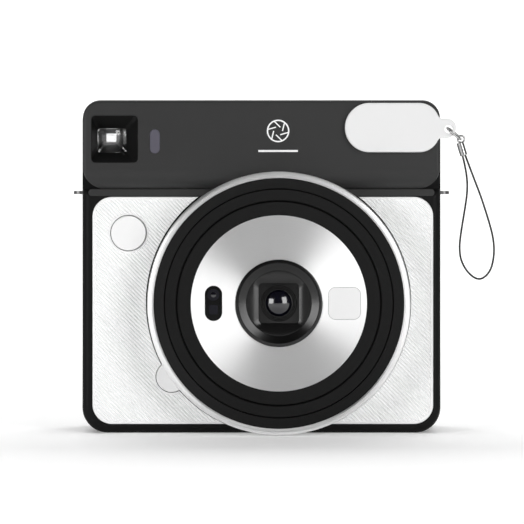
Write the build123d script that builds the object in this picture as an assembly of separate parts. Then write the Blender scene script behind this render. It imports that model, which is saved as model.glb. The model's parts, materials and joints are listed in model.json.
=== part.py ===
from build123d import *
import math
import os

# An instant camera, as the separate pieces that it is assembled from. Millimetres. +Z is up, the lens looks
# along -Y, and +X is on the right of someone who faces the lens. The origin is under the middle of the
# casing, on the surface that it stands on, half way between the lens ring's front and the back face.

# Casing
body_width = 128.1
body_height = 118.7
body_depth = 58.1
front_of_ring = -body_depth / 2
back_face = body_depth / 2
front_face = front_of_ring + 16.1
hood_front = front_of_ring + 10.1
upper_front = front_face + 3.0
parting = 9.0
seam = 0.5
wall = 2.0
edge_round = 2.9
top_corner = 7.0
bottom_corner = 9.0
side = body_width / 2

# Gaps: between pieces that move, between pieces that are fitted together, and around a turning shaft
gap = 0.3
fit = 0.05
running = 0.05

# Hood over the upper front
hood_half_width = 63.3
hood_bottom = 87.06
hood_top = 118.4
hood_lower_corner = 7.5
hood_upper_corner = 6.3
hood_edge = 1.3
hood_chin = 6.8

# Front panels
panel_left = -60.3
panel_right = 61.3
panel_bottom = 3.2
panel_top = 84.25
panel_corner = 7.0
panel_thickness = 1.2
panel_seat = front_face + panel_thickness

# Lens axis and the nested barrel
lens_x = 6.1
lens_z = 46.5
ring_radius = 46.15
ring_inner = 43.9
ring_back = -8.95
sleeve_outer = 43.5
sleeve_inner = 42.0
sleeve_back = 4.5
collar_radius = 40.35
barrel_front = -27.6
outer_barrel_radius = 40.1
barrel_flange = 2.5
outer_barrel_bore = 38.3
outer_barrel_lip = 36.0
outer_barrel_flange = 41.7
outer_barrel_back = 2.6
inner_barrel_radius = 35.7
inner_barrel_bore = 33.9
inner_barrel_flange = 38.0
inner_barrel_back = -0.4
plate_radius = 30.85
plate_front = -27.9
plate_back = -26.4
bezel_radius = 15.3
bezel_front = -28.3
lens_radius = 4.6
lens_crown = -26.1
rear_lens_radius = 5.0
sensor_offset = -22.9
sensor_size = (6.0, 12.3)
sensor_corner = 2.99
mirror_offset = 23.0
mirror_size = 11.26
mirror_corner = 2.6

# Shutter inside the inner barrel
housing_radius = 15.0
housing_front = -23.9
housing_back = -12.0
blade_chamber_radius = 13.5
blade_pivot_height = 10.0
blade_pin = 0.6
blade_thickness = 0.5
left_blade_front = -19.3
right_blade_front = -18.4

# Viewfinder, light sensor and flash in the hood
finder_opening = (16.65, 16.8)
finder_opening_centre = (-52.0, 104.5)
finder_window = (10.3, 8.7)
finder_centre = (-53.3, 104.35)
finder_corner = 1.2
finder_wall = 1.45
finder_flange = 18.2
finder_flange_front = hood_front + 2.05
finder_flange_back = -12.9
funnel_depth = 5.2
funnel_lip = 0.4
finder_lens_middle = -11.4
finder_lens_rim = 3.9
finder_lens_waist = 1.0
finder_lens_curve = 34.0
finder_lens_axis = (-55.05, 107.05)
eyepiece_size = (15.4, 13.0)
sensor_slot = (3.7, 8.6)
sensor_slot_centre = (-37.75, 103.7)
flash_size = (25.4, 12.0)
flash_centre = (46.8, 108.5)
flash_corner = 2.0

# Flash filter that clips over the flash, and its wrist strap
filter_left = 29.5
filter_right = 63.0
filter_bottom = 99.8
filter_top = 117.2
filter_front = -21.0
filter_back = hood_front - gap
tab_end = 68.7
tab_bottom = 104.95
tab_top = 111.7
tab_hole = (66.2, 107.95)
tab_hole_radius = 1.5
peg_radius = 0.85
peg_places = (32.2, 61.4)
strap_y = (filter_front + filter_back) / 2
cord_radius = 0.35
ferrule_top = (70.2, 103.2)
ferrule_bottom = (71.6, 98.6)
ferrule_radius = 1.3
cord_spacing = 0.96
ring_slope = -38.5
ring_tilt = 22.0
ring_half_width = 1.6
ring_straight = 3.2
ring_wire = 0.35
ring_lead = 0.8
eye_radius = 1.2
eye_wire = 0.35

# Buttons
shutter_centre = (-47.4, 71.3)
shutter_radius = 6.2
power_centre = (-32.0, 20.1)
power_radius = 5.45
back_button_x = -51.5
back_button_heights = {"mode_button": 84.0, "timer_button": 74.0, "flash_button": 64.0}
back_button_radius = 3.1

# Strap lugs on the sides, and the tripod socket and screws in the base
lug_height = 86.4
lug_thickness = 1.1
lug_width = 5.0
lug_tip = 68.7
lug_root = 57.0
lug_hole_radius = 1.3
socket_place = (-50.0, 1.0)
socket_radius = 4.5
socket_bore = 2.6
socket_length = 7.5
screw_places = ((-40.5, -5.0), (-48.0, 20.0), (52.0, -5.0), (52.0, 20.0))
screw_head = 1.8
screw_shank = 0.85

# Film pack, its chamber and its door
pack_width = 78.0
pack_height = 92.5
pack_bottom = 5.0
pack_front = 7.3
pack_back = 24.9
pack_wall = 1.2
picture_size = 62.0
sheet_size = (72.0, 86.0)
sheet_thickness = 0.45
sheet_pitch = 0.5
sheet_count = 10
chamber_front = sleeve_back
chamber_floor = 7.0
chamber_wall = 1.7
door_left = -37.9
door_bottom = 4.0
door_top = 99.0
door_inside = 25.6
door_corner = 2.0
door_hinge_corner = 5.0
door_knuckle = 1.8
door_hinge = (60.6, back_face - door_knuckle)
door_pin = 0.8
door_knuckles = ((16.0, 32.0), (71.0, 87.0))
ear_length = 3.7
ear_play = 0.3
check_window_size = (14.0, 7.0)
check_window_centre = (34.0, 52.0)
latch_x = -42.8
latch_z = 52.0
latch_size = (5.6, 12.0)
latch_travel = 5.0
counter_size = (14.0, 6.0)
counter_centre = (14.0, 108.5)

# Batteries and their cover
cell_radius = 7.75
cell_length = 27.0
cell_centre = (-54.0, 0.65)
cell_bottom = 10.0
cover_knuckle = 1.3
cover_hinge = (-side + cover_knuckle, -7.4)
cover_pin = 0.6
cover_back = 8.3
cover_corner = 1.5
cover_bottom = 9.3
cover_top = 66.7
cover_thickness = 1.4
cover_knuckle_span = (30.2, 45.8)

# Roller drive above the film pack
gear_module = 0.5
roller_teeth = 17
idler_teeth = 18
pinion_teeth = 12
film_path = 8.5
roller_height = 103.0
roller_radius = 4.05
roller_shaft = 1.5
roller_span = (-34.5, 46.3)
left_plate = (-36.5, -35.0)
right_plate = (46.8, 48.3)
gear_span = (49.5, 52.5)
idler_place = (21.5, 102.9)
motor_place = (21.6, 110.4)
motor_radius = 4.5
motor_shaft = 0.75
idler_stud = 1.0

# Right-hand electronics bay
board_span = (60.7, 61.7)
capacitor_centre = (55.3, 16.5)
capacitor_radius = 4.5


def block(x, y, z):
    centre = Pos((x[0] + x[1]) / 2, (y[0] + y[1]) / 2, (z[0] + z[1]) / 2)
    return centre * Box(x[1] - x[0], y[1] - y[0], z[1] - z[0])


def slab(sketch, front, back):
    """A sketch drawn in X and Z, as a plate from y = front to y = back."""
    plane = Plane((0, back, 0), x_dir=(1, 0, 0), z_dir=(0, -1, 0))
    return extrude(plane * sketch, amount=back - front)


def bar(sketch, start, end):
    """A sketch drawn in Y and Z, as a bar from x = start to x = end."""
    plane = Plane((start, 0, 0), x_dir=(0, 1, 0), z_dir=(1, 0, 0))
    return extrude(plane * sketch, amount=end - start)


def rounded(size, centre, corner, grow=0.0):
    width, height = size[0] + 2 * grow, size[1] + 2 * grow
    return Pos(*centre) * RectangleRounded(width, height, corner + grow)


def disc(centre, radius, front, back):
    return slab(Pos(*centre) * Circle(radius), front, back)


def rod_x(y, z, radius, start, end):
    return bar(Pos(y, z) * Circle(radius), start, end)


def rod_z(x, y, radius, bottom, top):
    return Pos(x, y, (bottom + top) / 2) * Cylinder(radius, top - bottom)


def turned(*profile):
    """A profile of (radius, y) points, turned about the lens axis."""
    face = make_face(Polyline(*profile, close=True))
    return Pos(lens_x, 0, lens_z) * revolve(face, Axis.Y)


def casing_outline(inset):
    width, height = body_width - 2 * inset, body_height - 2 * inset
    shape = Pos(0, body_height / 2) * Rectangle(width, height)
    shape = fillet(shape.vertices().group_by(Axis.Y)[-1], top_corner - inset)
    return fillet(shape.vertices().group_by(Axis.Y)[0], bottom_corner - inset)


def panel_outline(grow=0.0):
    size = (panel_right - panel_left, panel_top - panel_bottom)
    centre = ((panel_left + panel_right) / 2, (panel_bottom + panel_top) / 2)
    return rounded(size, centre, panel_corner, grow)


def lens_circle(radius):
    return Pos(lens_x, lens_z) * Circle(radius)


def screw_boss(place):
    return rod_z(*place, 2.8, wall / 2, 7.0)


def screw_hole(place):
    return rod_z(*place, screw_shank + fit, -1, 7.5) + rod_z(*place, screw_head + 0.2, -1, 1.4)


def lug_slots():
    slots = Part()
    for sign in (-1, 1):
        x = sorted((sign * (lug_root - 0.5), sign * (side + 1)))
        y = (parting - lug_width / 2 - fit, parting + lug_width / 2 + fit)
        z = (lug_height - lug_thickness / 2 - fit, lug_height + lug_thickness / 2 + fit)
        slots += block(x, y, z)
    return slots


def film_exit():
    half = sheet_size[0] / 2 + 1.2
    return block((lens_x - half, lens_x + half), (film_path - 1.2, film_path + 1.2), (116, 120))


def front_shell():
    below = Pos(0, hood_bottom / 2 - 0.03) * Rectangle(body_width + 2, hood_bottom - 0.06)
    lower = slab(casing_outline(0) & below, front_face, parting)
    lower = fillet(lower.faces().sort_by(Axis.Y)[0].edges(), edge_round)
    shell = lower + slab(casing_outline(0), upper_front, parting)
    under = Pos(0, (hood_bottom - wall) / 2) * Rectangle(body_width, hood_bottom - wall)
    shell -= slab(casing_outline(wall), upper_front + wall, parting)
    shell -= slab(casing_outline(wall) & under, upper_front, upper_front + wall)
    shell += rod_z(*socket_place, socket_radius + 2, wall / 2, socket_length)
    for place in screw_places:
        if place[1] < parting:
            shell += screw_boss(place)
    shell -= slab(panel_outline(fit), front_face - 1, panel_seat)
    shell -= slab(lens_circle(ring_radius + 0.15), front_face - 1, upper_front + 3)
    shell -= disc(shutter_centre, shutter_radius + gap, front_face - 1, upper_front + 1)
    shell -= disc(power_centre, power_radius + gap, front_face - 1, upper_front + 1)
    shell -= slab(rounded(finder_window, finder_centre, 1.0, finder_wall + 0.2), upper_front - 1, -7)
    shell -= rod_z(*socket_place, socket_radius + fit, -1, socket_length + 1)
    for place in screw_places:
        if place[1] < parting:
            shell -= screw_hole(place)
    shell -= battery_cover_opening()
    reach = cover_hinge[1] - cover_knuckle - gap
    for low, high in ear_spans(*cover_knuckle_span):
        shell += rod_z(*cover_hinge, cover_knuckle - ear_play, low, high)
        shell += block((-side + 0.5, cover_hinge[0] + 1.2), (reach - 0.8, cover_hinge[1]), (low, high))
    span = ear_spans(*cover_knuckle_span)
    shell -= rod_z(*cover_hinge, cover_pin + 0.02, span[0][0], span[1][1])
    return quartered(shell - lug_slots() - film_exit())


def quartered(shell):
    """The shell in four pieces, which meet face to face on the two planes through the lens's axis."""
    pieces = []
    for x in ((-side - 1, lens_x), (lens_x, side + 1)):
        for z in ((-1, lens_z), (lens_z, hood_top + 1)):
            pieces += (shell & block(x, (-40, 40), z)).solids()
    return pieces


def ear_spans(low, high):
    """The heights of the two ears that hold a hinge pin, below and above the knuckle between low and high."""
    return (low - gap - ear_length, low - gap), (high + gap, high + gap + ear_length)


def battery_cover_opening():
    """The cover's opening, with a round channel for the cover's rounded hinge edge to turn in."""
    z = (cover_bottom - gap, cover_top + gap)
    x, y = cover_hinge
    channel = cover_knuckle + gap
    opening = block((-side - 1, cell_centre[0]), (y, cover_back + gap), z)
    return opening + rod_z(x, y, channel, *z) + block((-side - 1, x), (y - channel, y), z)


def hood_form(inset):
    width = 2 * (hood_half_width - inset)
    height = hood_top - hood_bottom - 2 * inset
    shape = Pos(0, (hood_top + hood_bottom) / 2) * Rectangle(width, height)
    shape = fillet(shape.vertices().group_by(Axis.Y)[-1], hood_upper_corner - inset)
    shape = fillet(shape.vertices().group_by(Axis.Y)[0], hood_lower_corner - inset)
    form = slab(shape, hood_front + inset, upper_front)
    if inset == 0:
        form = fillet(form.faces().sort_by(Axis.Y)[0].edges(), hood_edge)
    front, bottom, chin = hood_front + inset, hood_bottom + inset, hood_chin - inset
    corner = block((-side, side), (front - 1, front + chin), (bottom - 1, bottom + chin))
    return form - (corner - rod_x(front + chin, bottom + chin, chin, -side - 1, side + 1))


def top_hood():
    hood = hood_form(0) - hood_form(wall)
    hood -= slab(rounded(finder_opening, finder_opening_centre, 1.5), hood_front - 1, hood_front + wall + 1)
    hood -= slab(rounded(sensor_slot, sensor_slot_centre, 1.84), hood_front - 1, hood_front + wall + 1)
    hood -= slab(rounded(flash_size, flash_centre, flash_corner), hood_front - 1, hood_front + wall + 1)
    for x in peg_places:
        hood -= disc((x, flash_centre[1]), peg_radius + gap, hood_front - 1, hood_front + 3)
    return hood - slab(lens_circle(ring_radius + 0.15), hood_front - 1, upper_front + 1)


def back_shell():
    outer = slab(casing_outline(0), parting, back_face)
    outer = fillet(outer.faces().sort_by(Axis.Y)[-1].edges(), edge_round)
    band = (parting - 1, parting + seam)
    outer -= slab(casing_outline(0), *band) - slab(casing_outline(seam / 2), *band)
    shell = outer - slab(casing_outline(wall), parting, back_face - wall)
    for place in screw_places:
        if place[1] > parting:
            shell += screw_boss(place)
    shell -= door_opening()
    for knuckle in door_knuckles:
        spans = ear_spans(*knuckle)
        for span in spans:
            shell += rod_z(*door_hinge, door_knuckle - ear_play, *span)
            shell += block((door_hinge[0], side - 1.2), (door_hinge[1] - 1.0, door_hinge[1] + 0.6), span)
        shell -= rod_z(*door_hinge, door_pin + 0.02, spans[0][0], spans[1][1])
    shell -= slab(rounded(eyepiece_size, finder_centre, 2.5, fit), 20, 30)
    shell -= slab(rounded(counter_size, counter_centre, 1.0, fit), 20, 30)
    for height in back_button_heights.values():
        shell -= disc((back_button_x, height), back_button_radius + gap, 20, 30)
        shell -= disc((back_button_x, height), back_button_radius + 1.8, back_face - 0.5, 30)
    slot_low = latch_z - latch_size[1] / 2 - latch_travel - gap
    slot_high = latch_z + latch_size[1] / 2 + gap
    shell -= block((latch_x - latch_size[0] / 2 - gap, latch_x + latch_size[0] / 2 + gap), (20, 30),
                   (slot_low, slot_high))
    for place in screw_places:
        if place[1] > parting:
            shell -= screw_hole(place)
    return shell - lug_slots() - film_exit()


def door_outline(grow=0.0, hinge_corner=door_hinge_corner):
    """The flat part of the film door, which ends at its hinge's axis."""
    left, right = door_left - grow, door_hinge[0]
    bottom, top = door_bottom - grow, door_top + grow
    shape = Pos((left + right) / 2, (bottom + top) / 2) * Rectangle(right - left, top - bottom)
    shape = fillet(shape.vertices().group_by(Axis.X)[0], door_corner + grow)
    return fillet(shape.vertices().group_by(Axis.X)[-1], hinge_corner + grow)


def door_opening():
    """The door's opening, with a round channel for the door's rounded hinge edge to turn in."""
    channel = door_knuckle + gap
    z = (door_bottom + 1, door_top - 1)
    opening = slab(door_outline(gap, door_hinge_corner - 2.0), door_inside - 1.6, back_face + 1)
    opening += rod_z(*door_hinge, channel, *z)
    return opening + block((door_hinge[0], door_hinge[0] + channel), (door_hinge[1], back_face + 1), z)


def front_panels():
    panel = slab(panel_outline(), front_face, panel_seat)
    panel = fillet(panel.faces().sort_by(Axis.Y)[0].edges(), 0.4)
    panel -= slab(lens_circle(ring_radius + 0.15), front_face - 1, panel_seat + 1)
    panel -= disc(shutter_centre, shutter_radius + gap, front_face - 1, panel_seat + 1)
    panel -= disc(power_centre, power_radius + gap, front_face - 1, panel_seat + 1)
    halves = panel.solids().sort_by(Axis.X)
    return halves[0], halves[-1]


def lens_trim_ring():
    return turned((ring_inner, ring_back), (ring_radius, ring_back), (ring_radius, front_of_ring + 1.2),
                  (ring_radius - 0.4, front_of_ring + 0.3), (ring_radius - 1.0, front_of_ring),
                  (ring_inner + 0.5, front_of_ring), (ring_inner, front_of_ring + 0.5))


def barrel_sleeve():
    return turned((sleeve_inner, sleeve_back), (sleeve_outer, sleeve_back), (sleeve_outer, -7.4),
                  (ring_radius - fit, -7.4), (ring_radius - fit, ring_back), (sleeve_outer, ring_back),
                  (sleeve_outer, -25.0), (ring_inner - fit, -25.0), (ring_inner - fit, -28.6),
                  (collar_radius, barrel_front), (collar_radius, -25.0), (sleeve_inner, -24.0))


def outer_barrel():
    flange = outer_barrel_back - barrel_flange
    return turned((outer_barrel_bore, outer_barrel_back), (outer_barrel_flange, outer_barrel_back),
                  (outer_barrel_flange, flange), (outer_barrel_radius, flange),
                  (outer_barrel_radius, barrel_front + 0.3), (outer_barrel_radius - 0.3, barrel_front),
                  (outer_barrel_lip + 0.3, barrel_front), (outer_barrel_lip, barrel_front + 0.3),
                  (outer_barrel_lip, barrel_front + 2), (outer_barrel_bore, barrel_front + 2))


def inner_barrel():
    flange = inner_barrel_back - barrel_flange
    return turned((inner_barrel_bore, inner_barrel_back), (inner_barrel_flange, inner_barrel_back),
                  (inner_barrel_flange, flange), (inner_barrel_radius, flange),
                  (inner_barrel_radius, barrel_front + 0.3), (inner_barrel_radius - 0.3, barrel_front),
                  (plate_radius + fit, barrel_front), (plate_radius + fit, plate_back),
                  (12.5, plate_back), (12.5, -24.9), (inner_barrel_bore, -24.9))


def lens_plate():
    plate = slab(lens_circle(plate_radius), plate_front, plate_back)
    plate -= slab(lens_circle(bezel_radius + fit), plate_front - 1, plate_back + 1)
    sensor = rounded(sensor_size, (lens_x + sensor_offset, lens_z), sensor_corner, fit)
    mirror_pocket = rounded((mirror_size, mirror_size), (lens_x + mirror_offset, lens_z), mirror_corner, fit)
    for pocket in (sensor, mirror_pocket):
        plate -= slab(pocket, plate_front - 1, plate_back + 1)
    return plate


def lens_bezel():
    form = turned((0, -24.0), (12.4, -24.0), (12.4, plate_back), (bezel_radius, plate_back),
                  (bezel_radius, bezel_front + 0.2), (bezel_radius - 0.2, bezel_front), (14.05, bezel_front),
                  (11.5, bezel_front + 1.1), (0, bezel_front + 1.1))
    mouth = facing_plane((lens_x, lens_z), bezel_front + 1.1)
    floor = facing_plane((lens_x, lens_z), -25.2)
    form -= loft([mouth * RectangleRounded(17.5, 17.5, 2.6), floor * RectangleRounded(14.1, 14.1, 1.4)])
    return form - slab(lens_circle(lens_radius + 0.1), -26, -23)


def domed_lens(rim, crown, edge, flat):
    """A lens with its crown at y = crown, its rim's edge at y = edge and a flat face at y = flat."""
    quarter = edge + (crown - edge) * 0.75
    arc = ThreePointArc((0, crown), (rim / 2, quarter), (rim, edge))
    sides = Polyline((rim, edge), (rim, flat), (0, flat), (0, crown))
    return Pos(lens_x, 0, lens_z) * revolve(make_face([arc, sides]), Axis.Y)


def front_lens():
    return domed_lens(lens_radius, lens_crown, -24.4, -21.2)


def rear_lens():
    return domed_lens(rear_lens_radius, -14.9, -14.2, -12.4)


def shutter_housing():
    bore = lens_radius + fit
    rear = rear_lens_radius + fit
    form = turned((bore, housing_front), (housing_radius, housing_front), (housing_radius, housing_back),
                  (rear, housing_back), (rear, -15.0), (bore - 0.5, -15.0), (bore - 0.5, -17.0),
                  (blade_chamber_radius, -17.0), (blade_chamber_radius, -20.0), (bore - 0.5, -20.0),
                  (bore - 0.5, -21.0), (bore, -21.0))
    return form + disc((lens_x, lens_z + blade_pivot_height), blade_pin, -20.1, -16.9)


def shutter_blade(sign, front):
    pivot = Pos(lens_x, lens_z + blade_pivot_height)
    cover = Pos(lens_x, lens_z) * Circle(5.4)
    keep = Pos(lens_x + sign * 3, lens_z) * Rectangle(7.2, 12)
    arm = Pos(lens_x + sign * 1.0, lens_z + blade_pivot_height / 2) * Rectangle(2.6, blade_pivot_height)
    shape = (cover & keep) + arm + pivot * Circle(1.9) - pivot * Circle(blade_pin + running)
    return slab(shape, front, front + blade_thickness)


def facing_plane(centre, y):
    """A plane at the given depth, with X along the camera and its normal pointing backward."""
    return Plane((centre[0], y, centre[1]), x_dir=(1, 0, 0), z_dir=(0, 1, 0))


def viewfinder_tube():
    """A funnel that fills the hood's opening, a flange behind the hood, and the tube back to the eyepiece."""
    front = hood_front + 0.15
    flange = (finder_flange, finder_flange)
    form = slab(rounded(finder_opening, finder_opening_centre, 1.5, -fit), front, finder_flange_front)
    form += slab(rounded(flange, finder_opening_centre, 1.5), finder_flange_front, finder_flange_back)
    form += slab(rounded(finder_window, finder_centre, 1.0, finder_wall), finder_flange_back, 24.4)
    mouth = RectangleRounded(finder_opening[0] - funnel_lip, finder_opening[1] - funnel_lip, 1.4)
    throat = RectangleRounded(*finder_window, finder_corner)
    form -= loft([facing_plane(finder_opening_centre, front) * mouth,
                  facing_plane(finder_centre, front + funnel_depth) * throat])
    return form - slab(rounded(finder_window, finder_centre, finder_corner), front + funnel_depth, 25)


def finder_blank(front, back):
    return slab(rounded(finder_window, finder_centre, finder_corner, -fit), front, back)


def finder_front_lens():
    """A lens hollowed on both faces, whose optical axis lies up and to the left of its middle."""
    form = finder_blank(finder_lens_middle - finder_lens_rim / 2, finder_lens_middle + finder_lens_rim / 2)
    for direction in (-1, 1):
        y = finder_lens_middle + direction * (finder_lens_waist / 2 + finder_lens_curve)
        form -= Pos(finder_lens_axis[0], y, finder_lens_axis[1]) * Sphere(finder_lens_curve)
    return form


def finder_rear_lens():
    return finder_blank(22.6, 23.4) + disc(finder_centre, 3.6, 23.4, 24.2)


def eyepiece_surround():
    frame = slab(rounded(eyepiece_size, finder_centre, 2.5), 24.6, back_face)
    frame = fillet(frame.faces().sort_by(Axis.Y)[-1].edges(), 0.6)
    return frame - slab(rounded(finder_window, finder_centre, finder_corner), 24, 30)


def plug(size, centre, corner, front, back):
    return slab(rounded(size, centre, corner - fit, -fit), front, back)


def flash_reflector():
    x = (flash_centre[0] - 12.0, flash_centre[0] + 12.0)
    z = flash_centre[1]
    outside = make_face(Polyline((-17.3, z - 5.3), (-17.3, z + 5.3), (-10.4, z + 3), (-10.4, z - 3),
                                 close=True))
    inside = make_face(Polyline((-18, z - 5.0), (-18, z + 5.0), (-10.9, z + 2.4), (-10.9, z - 2.4),
                                close=True))
    return bar(outside, *x) - bar(inside, x[0] + 0.5, x[1] - 0.5)


def flash_tube():
    return rod_x(-12.8, flash_centre[1], 1.2, flash_centre[0] - 11.4, flash_centre[0] + 11.4)


def filter_outline():
    size = (filter_right - filter_left, filter_top - filter_bottom)
    shape = Pos((filter_left + filter_right) / 2, (filter_bottom + filter_top) / 2) * Rectangle(*size)
    shape = fillet(shape.vertices().group_by(Axis.X)[0], size[1] / 2 - 0.01)
    shape = fillet(shape.vertices().group_by(Axis.X)[-1], 7.2)
    tab = Pos((58 + tab_end) / 2, (tab_bottom + tab_top) / 2) * Rectangle(tab_end - 58, tab_top - tab_bottom)
    shape += fillet(tab.vertices().group_by(Axis.X)[-1], 3.0)
    inner = [v for v in shape.vertices()
             if 60 < v.X < filter_right + 0.1 and min(abs(v.Y - tab_bottom), abs(v.Y - tab_top)) < 0.01]
    return fillet(inner, 2.0)


def flash_filter():
    form = slab(filter_outline(), filter_front, filter_back)
    form = fillet(form.faces().sort_by(Axis.Y)[0].edges(), 0.6)
    form -= disc(tab_hole, tab_hole_radius, filter_front - 1, filter_back + 1)
    for x in peg_places:
        form += disc((x, flash_centre[1]), peg_radius, filter_back - 0.2, hood_front + 1.6)
    return form


def strap_ring():
    """A wire link through the tab's hole, which runs down to the right and is tilted a little to the front."""
    along = ring_direction()
    hole = Vector(tab_hole[0], strap_y, tab_hole[1])
    centre = hole + along * (ring_half_width + ring_straight / 2 - ring_lead)
    plane = Plane(centre, x_dir=along, z_dir=along.cross(Vector(0, 1, 0))).rotated((ring_tilt, 0, 0))
    path = plane * SlotOverall(ring_straight + 2 * ring_half_width, 2 * ring_half_width).wire()
    section = Plane(path @ 0, z_dir=path % 0) * Circle(ring_wire)
    return sweep(section, path)


def strap_ferrule():
    """The crimp that closes the cord's two ends, with the eye that hangs in the ring."""
    top = Vector(ferrule_top[0], strap_y, ferrule_top[1])
    bottom = Vector(ferrule_bottom[0], strap_y, ferrule_bottom[1])
    plane = Plane(bottom, z_dir=top - bottom)
    tube = extrude(plane * Circle(ferrule_radius), amount=(top - bottom).length)
    tube = fillet(tube.edges(), 0.35)
    reach = 2 * ring_half_width + ring_straight - ring_lead
    eye_centre = Vector(tab_hole[0], strap_y, tab_hole[1]) + ring_direction() * reach
    eye = Pos(eye_centre) * Rot(90, 0, 0) * Torus(eye_radius, eye_wire)
    return tube + eye


def ring_direction():
    slope = math.radians(ring_slope)
    return Vector(math.cos(slope), 0, math.sin(slope))


def cord_ends():
    """Where the two strands leave the ferrule's lower face."""
    slope = Vector(ferrule_bottom[0] - ferrule_top[0], 0, ferrule_bottom[1] - ferrule_top[1]).normalized()
    across = Vector(-slope.Z, 0, slope.X) * (cord_spacing / 2)
    end = Vector(ferrule_bottom[0], strap_y, ferrule_bottom[1])
    return end - across, end + across


# The strap's loop, in X and Z, from one strand to the other.
cord_route = ((72.5, 93.0), (72.9, 86.5), (71.9, 79.5), (70.6, 72.0), (69.9, 66.0), (70.6, 61.0),
              (73.6, 56.4), (77.4, 54.4), (81.0, 57.6), (82.3, 63.2), (82.1, 69.0), (80.4, 75.5),
              (77.6, 84.2), (74.6, 91.9))


def filter_strap_cord():
    start, end = cord_ends()
    points = [start] + [Vector(x, strap_y, z) for x, z in cord_route] + [end]
    runs = [(b - a).length for a, b in zip(points, points[1:])]
    radii = []
    for i in range(1, len(points) - 1):
        turn = math.radians((points[i] - points[i - 1]).get_angle(points[i + 1] - points[i]))
        radii.append(0.45 * min(runs[i - 1], runs[i]) / math.tan(turn / 2))
    path = FilletPolyline(*points, radius=radii)
    print("cord length", round(path.length, 2), "runs", round(sum(runs), 2))
    print("cord radii", [round(radius, 1) for radius in radii])
    section = Plane(path @ 0, z_dir=path % 0) * Circle(cord_radius)
    cord = sweep(section, path)
    print("cord volume", round(cord.volume, 3), "expected", round(math.pi * cord_radius**2 * path.length, 3))
    return cord


def shutter_button():
    form = disc(shutter_centre, shutter_radius, front_face - 1.25, upper_front + 0.3)
    form = fillet(form.faces().sort_by(Axis.Y)[0].edges(), 0.5)
    form += disc(shutter_centre, shutter_radius + 1.1, upper_front + 0.3, upper_front + 1.3)
    return form + disc(shutter_centre, 1.5, upper_front + 1.3, upper_front + 3.7)


def power_button():
    around = lens_circle(ring_radius + 0.5)
    cap = slab(Pos(*power_centre) * Circle(power_radius) - around, front_face - 0.8, upper_front + 0.3)
    cap = fillet(cap.faces().sort_by(Axis.Y)[0].edges(), 0.3)
    cap += slab(Pos(*power_centre) * Circle(power_radius + 1) - around, upper_front + 0.3, upper_front + 1.3)
    reach = math.hypot(power_centre[0] - lens_x, power_centre[1] - lens_z)
    outward = ((power_centre[0] - lens_x) / reach, (power_centre[1] - lens_z) / reach)
    stem = (power_centre[0] + 2.4 * outward[0], power_centre[1] + 2.4 * outward[1])
    return cap + disc(stem, 1.2, upper_front + 1.3, upper_front + 3.7)


def back_button(height):
    centre = (back_button_x, height)
    inside = back_face - wall
    form = disc(centre, back_button_radius, inside - 0.4, back_face - 0.05)
    form = fillet(form.faces().sort_by(Axis.Y)[-1].edges(), 0.4)
    return form + disc(centre, back_button_radius + 1.1, inside - 1.4, inside - 0.4)


def strap_lug(sign):
    tip = lug_tip - lug_width / 2
    centre = ((lug_root + tip) / 2, parting)
    shape = Pos(*centre) * Rectangle(tip - lug_root, lug_width) + Pos(tip, parting) * Circle(lug_width / 2)
    shape -= Pos(tip, parting) * Circle(lug_hole_radius)
    lug = Pos(0, 0, lug_height - lug_thickness / 2) * extrude(shape, amount=lug_thickness)
    return lug if sign > 0 else mirror(lug, about=Plane.YZ)


def tripod_socket():
    form = rod_z(*socket_place, socket_radius, 0, socket_length)
    return form - rod_z(*socket_place, socket_bore, -1, socket_length + 1)


def case_screws():
    screws = []
    for place in screw_places:
        head = rod_z(*place, screw_head, 0.4, 1.4)
        cross = Pos(*place, 0.6) * (Box(2.2, 0.45, 0.5) + Box(0.45, 2.2, 0.5))
        screws.append(head - cross + rod_z(*place, screw_shank, 1.4, 6.0))
    return screws


def film_chamber():
    left = lens_x - pack_width / 2 - 0.4
    right = lens_x + pack_width / 2 + 0.4
    low = pack_bottom - 0.4
    form = block((left - chamber_wall - 2, right + chamber_wall + 1.2), (chamber_front, chamber_floor),
                 (low - chamber_wall, 98.0))
    form += block((left - chamber_wall, right + chamber_wall), (chamber_floor, pack_back + 0.2),
                  (low - chamber_wall, 97.6))
    form -= block((left, right), (chamber_floor, pack_back + 1), (low, 99))
    form -= block((lens_x - picture_size / 2, lens_x + picture_size / 2), (4, 8),
                  (lens_z - picture_size / 2, lens_z + picture_size / 2))
    return form - block((right - 0.5, right + 3), (8.2, 10.2), (9.5, 21.0))


def film_cassette():
    x = (lens_x - pack_width / 2, lens_x + pack_width / 2)
    z = (pack_bottom, pack_bottom + pack_height)
    inner_x = (x[0] + pack_wall, x[1] - pack_wall)
    form = block(x, (pack_front, pack_back), z)
    inner_y = (pack_front + pack_wall, pack_back - pack_wall)
    form -= block(inner_x, inner_y, (z[0] + pack_wall, z[1] - pack_wall))
    half = picture_size / 2 + 1.5
    window = ((lens_x - half, lens_x + half), (pack_front - 1, pack_front + 2), (lens_z - half, lens_z + half))
    form -= block(*window)
    exit_half = sheet_size[0] / 2 + 0.8
    return form - block((lens_x - exit_half, lens_x + exit_half),
                        (pack_front + pack_wall - 0.1, pack_front + pack_wall + 0.9), (z[1] - 3, z[1] + 1))


def film_sheets():
    width, height = sheet_size
    front = pack_front + pack_wall + 0.1
    low = pack_bottom + 2.2
    return [block((lens_x - width / 2, lens_x + width / 2),
                  (front + i * sheet_pitch, front + i * sheet_pitch + sheet_thickness), (low, low + height))
            for i in range(sheet_count)]


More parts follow.
